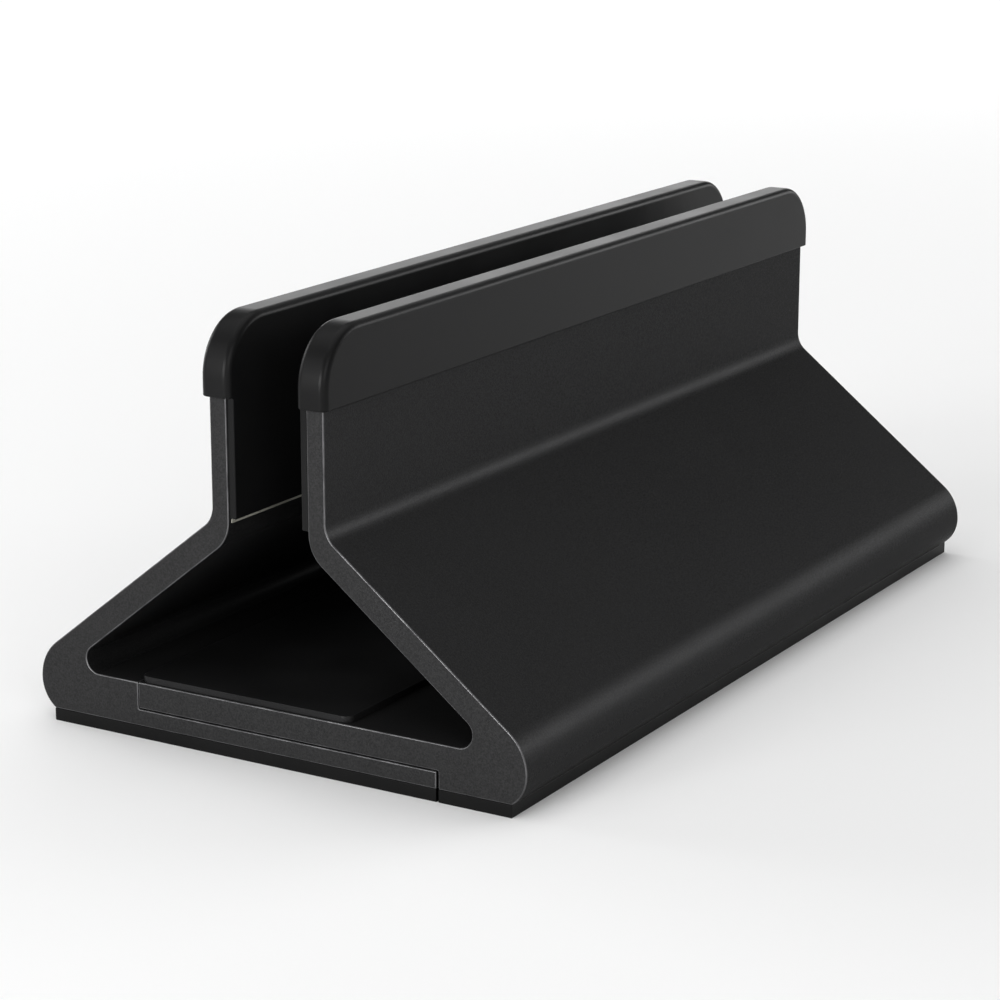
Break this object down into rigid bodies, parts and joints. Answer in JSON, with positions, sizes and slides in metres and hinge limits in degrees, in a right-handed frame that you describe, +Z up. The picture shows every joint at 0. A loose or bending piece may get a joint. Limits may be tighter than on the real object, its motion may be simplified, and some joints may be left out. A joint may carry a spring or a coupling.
{
  "type": "vertical laptop stand",
  "caption": "Adjustable vertical laptop stand: lapping aluminium halves with silicone sleeved fins form a slot, widened by sliding one half and clamped by screws from below.",
  "frame": {"origin": "middle of the underside, on the desk, with the slot closed to its narrowest", "axes": "+X across the slot, towards the half that slides; +Y along the slot, away from its front end; +Z up"},
  "size_m": [0.1052, 0.1948, 0.081],
  "materials": {
    "anodised_aluminium": "sand-blasted, black anodised",
    "sleeve_silicone": "smooth satin",
    "foot_silicone": "matt",
    "adhesive_film": "translucent, matt",
    "black_steel": "black oxide",
    "zinc_steel": "zinc plated"
  },
  "bodies": {
    "fixed_side": {"fixed_extrusion": "anodised_aluminium", "fixed_sleeve": "sleeve_silicone", "fixed_flap_adhesive": "adhesive_film", "fixed_foot": "foot_silicone", "fixed_foot_adhesive": "adhesive_film"},
    "sliding_side": {"sliding_extrusion": "anodised_aluminium", "sliding_sleeve": "sleeve_silicone", "sliding_flap_adhesive": "adhesive_film", "sliding_foot": "foot_silicone", "sliding_foot_adhesive": "adhesive_film", "floor_mat": "sleeve_silicone", "floor_mat_adhesive": "adhesive_film", "front_thread_insert": "zinc_steel", "rear_thread_insert": "zinc_steel"},
    "front_washer": {"front_washer": "zinc_steel"},
    "front_screw": {"front_clamp_screw": "black_steel"},
    "rear_washer": {"rear_washer": "zinc_steel"},
    "rear_screw": {"rear_clamp_screw": "black_steel"}
  },
  "joints": [
    {"name": "width_slide", "type": "slide", "parent": "fixed_side", "child": "sliding_side", "axis": [1, 0, 0], "range_m": [0, 0.028]},
    {"name": "front_washer_drop", "type": "slide", "parent": "sliding_side", "child": "front_washer", "axis": [0, 0, -1], "range_m": [0, 0.0007]},
    {"name": "front_screw_turn", "type": "hinge", "parent": "front_washer", "child": "front_screw", "pos_m": [-0.0065, -0.06, 0.0032], "axis": [0, 0, -1], "range_deg": [0, 360]},
    {"name": "rear_washer_drop", "type": "slide", "parent": "sliding_side", "child": "rear_washer", "axis": [0, 0, -1], "range_m": [0, 0.0007]},
    {"name": "rear_screw_turn", "type": "hinge", "parent": "rear_washer", "child": "rear_screw", "pos_m": [-0.0065, 0.06, 0.0032], "axis": [0, 0, -1], "range_deg": [0, 360]}
  ],
  "couplings": [
    {"joint": "front_screw_turn", "follows": "front_washer_drop", "rad_per_m": 8976},
    {"joint": "rear_screw_turn", "follows": "rear_washer_drop", "rad_per_m": 8976}
  ]
}
